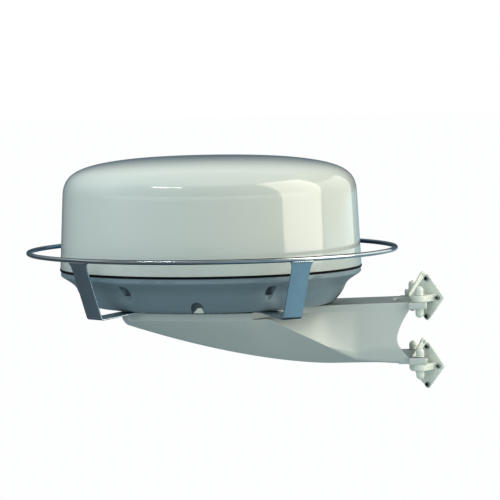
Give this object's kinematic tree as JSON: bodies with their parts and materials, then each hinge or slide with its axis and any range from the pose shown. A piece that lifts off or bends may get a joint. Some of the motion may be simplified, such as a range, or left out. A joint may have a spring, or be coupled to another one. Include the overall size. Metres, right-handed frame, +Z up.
{
  "type": "radar dome antenna",
  "caption": "Closed radar dome with a turning scanner inside, ringed by a tubular guard and carried on a hollow tapering bracket with swivelling feet for a mast.",
  "frame": {"origin": "middle of the object in plan, on its plane of symmetry, at the level of its lowest point, the bottom of the lower mast pads", "axes": "+X towards the mast along the bracket arm, +Y away from the near side, +Z up along the radome and antenna axis"},
  "size_m": [0.8526, 0.7646, 0.4851],
  "materials": {
    "gelcoat_white": "polished off-white gelcoat on glass-fibre laminate",
    "base_grey": "satin blue-grey moulding",
    "seal_black": "matt black rubber",
    "polished_stainless": "polished stainless steel",
    "fastener_steel": "plain stainless steel",
    "bracket_coat": "off-white powder coat on aluminium",
    "cap_white": "cream-white powder coat on aluminium",
    "socket_steel": "darkened stainless steel",
    "cast_aluminium": "as-cast aluminium",
    "bearing_steel": "ground bearing steel",
    "brass_plain": "turned brass",
    "gear_nylon": "natural nylon",
    "radiator_cream": "cream moulded radiator",
    "motor_black": "black painted steel can",
    "board_green": "solder-masked circuit board",
    "gland_black": "black nylon",
    "cable_black": "matt black cable sheath"
  },
  "bodies": {
    "base": {"base_tray": "base_grey", "seam_gasket": "seal_black", "guard_ring": "polished_stainless", "bracket_body": "bracket_coat", "scanner_chassis": "cast_aluminium", "bearing_outer_race": "bearing_steel", "rotary_joint_stem": "brass_plain", "drive_motor": "motor_black", "transceiver_box": "cast_aluminium", "circuit_board": "board_green", "cable_gland": "gland_black", "signal_cable": "cable_black", "guard_leg_front_left": "polished_stainless", "radome_bolt_front_left": "fastener_steel", "cover_screw_front_left": "fastener_steel", "guard_leg_front_right": "polished_stainless", "radome_bolt_front_right": "fastener_steel", "cover_screw_front_right": "fastener_steel", "guard_leg_back_right": "polished_stainless", "radome_bolt_back_right": "fastener_steel", "cover_screw_back_right": "fastener_steel", "guard_leg_back_left": "polished_stainless", "radome_bolt_back_left": "fastener_steel", "cover_screw_back_left": "fastener_steel", "pivot_bolt_upper_near": "cap_white", "pivot_cap_upper_near": "cap_white", "pivot_bolt_upper_far": "cap_white", "pivot_cap_upper_far": "cap_white", "pivot_bolt_lower_near": "cap_white", "pivot_cap_lower_near": "cap_white", "pivot_bolt_lower_far": "cap_white", "pivot_cap_lower_far": "cap_white"},
    "cover": {"radome_cover": "gelcoat_white"},
    "antenna": {"antenna_spindle": "cast_aluminium", "bearing_inner_race": "bearing_steel", "main_gear": "gear_nylon", "array_beam": "cast_aluminium", "array_radiator": "radiator_cream"},
    "pinion": {"motor_pinion": "brass_plain"},
    "foot_upper_near": {"mast_foot_upper_near": "cap_white", "foot_screw_upper_near_1": "socket_steel", "foot_screw_upper_near_2": "socket_steel", "foot_screw_upper_near_3": "socket_steel", "foot_screw_upper_near_4": "socket_steel"},
    "foot_upper_far": {"mast_foot_upper_far": "cap_white", "foot_screw_upper_far_1": "socket_steel", "foot_screw_upper_far_2": "socket_steel", "foot_screw_upper_far_3": "socket_steel", "foot_screw_upper_far_4": "socket_steel"},
    "foot_lower_near": {"mast_foot_lower_near": "cap_white", "foot_screw_lower_near_1": "socket_steel", "foot_screw_lower_near_2": "socket_steel", "foot_screw_lower_near_3": "socket_steel", "foot_screw_lower_near_4": "socket_steel"},
    "foot_lower_far": {"mast_foot_lower_far": "cap_white", "foot_screw_lower_far_1": "socket_steel", "foot_screw_lower_far_2": "socket_steel", "foot_screw_lower_far_3": "socket_steel", "foot_screw_lower_far_4": "socket_steel"}
  },
  "joints": [
    {"name": "antenna_turn", "type": "hinge", "parent": "base", "child": "antenna", "pos_m": [-0.04703, 0, 0.25541], "axis": [0, 0, 1], "continuous": true},
    {"name": "pinion_turn", "type": "hinge", "parent": "base", "child": "pinion", "pos_m": [-0.04703, 0.072, 0.25541], "axis": [0, 0, 1], "continuous": true},
    {"name": "cover_lift", "type": "slide", "parent": "base", "child": "cover", "axis": [0, 0, 1], "range_m": [0, 0.25]},
    {"name": "foot_upper_near_swivel", "type": "hinge", "parent": "base", "child": "foot_upper_near", "pos_m": [0.37557, -0.0768, 0.18771], "axis": [0, 0, 1], "range_deg": [-30, 30]},
    {"name": "foot_upper_far_swivel", "type": "hinge", "parent": "base", "child": "foot_upper_far", "pos_m": [0.37557, 0.0768, 0.18771], "axis": [0, 0, 1], "range_deg": [-30, 30]},
    {"name": "foot_lower_near_swivel", "type": "hinge", "parent": "base", "child": "foot_lower_near", "pos_m": [0.37557, -0.0768, 0.04741], "axis": [0, 0, 1], "range_deg": [-30, 30]},
    {"name": "foot_lower_far_swivel", "type": "hinge", "parent": "base", "child": "foot_lower_far", "pos_m": [0.37557, 0.0768, 0.04741], "axis": [0, 0, 1], "range_deg": [-30, 30]}
  ],
  "couplings": [
    {"joint": "pinion_turn", "follows": "antenna_turn", "ratio": -5}
  ]
}
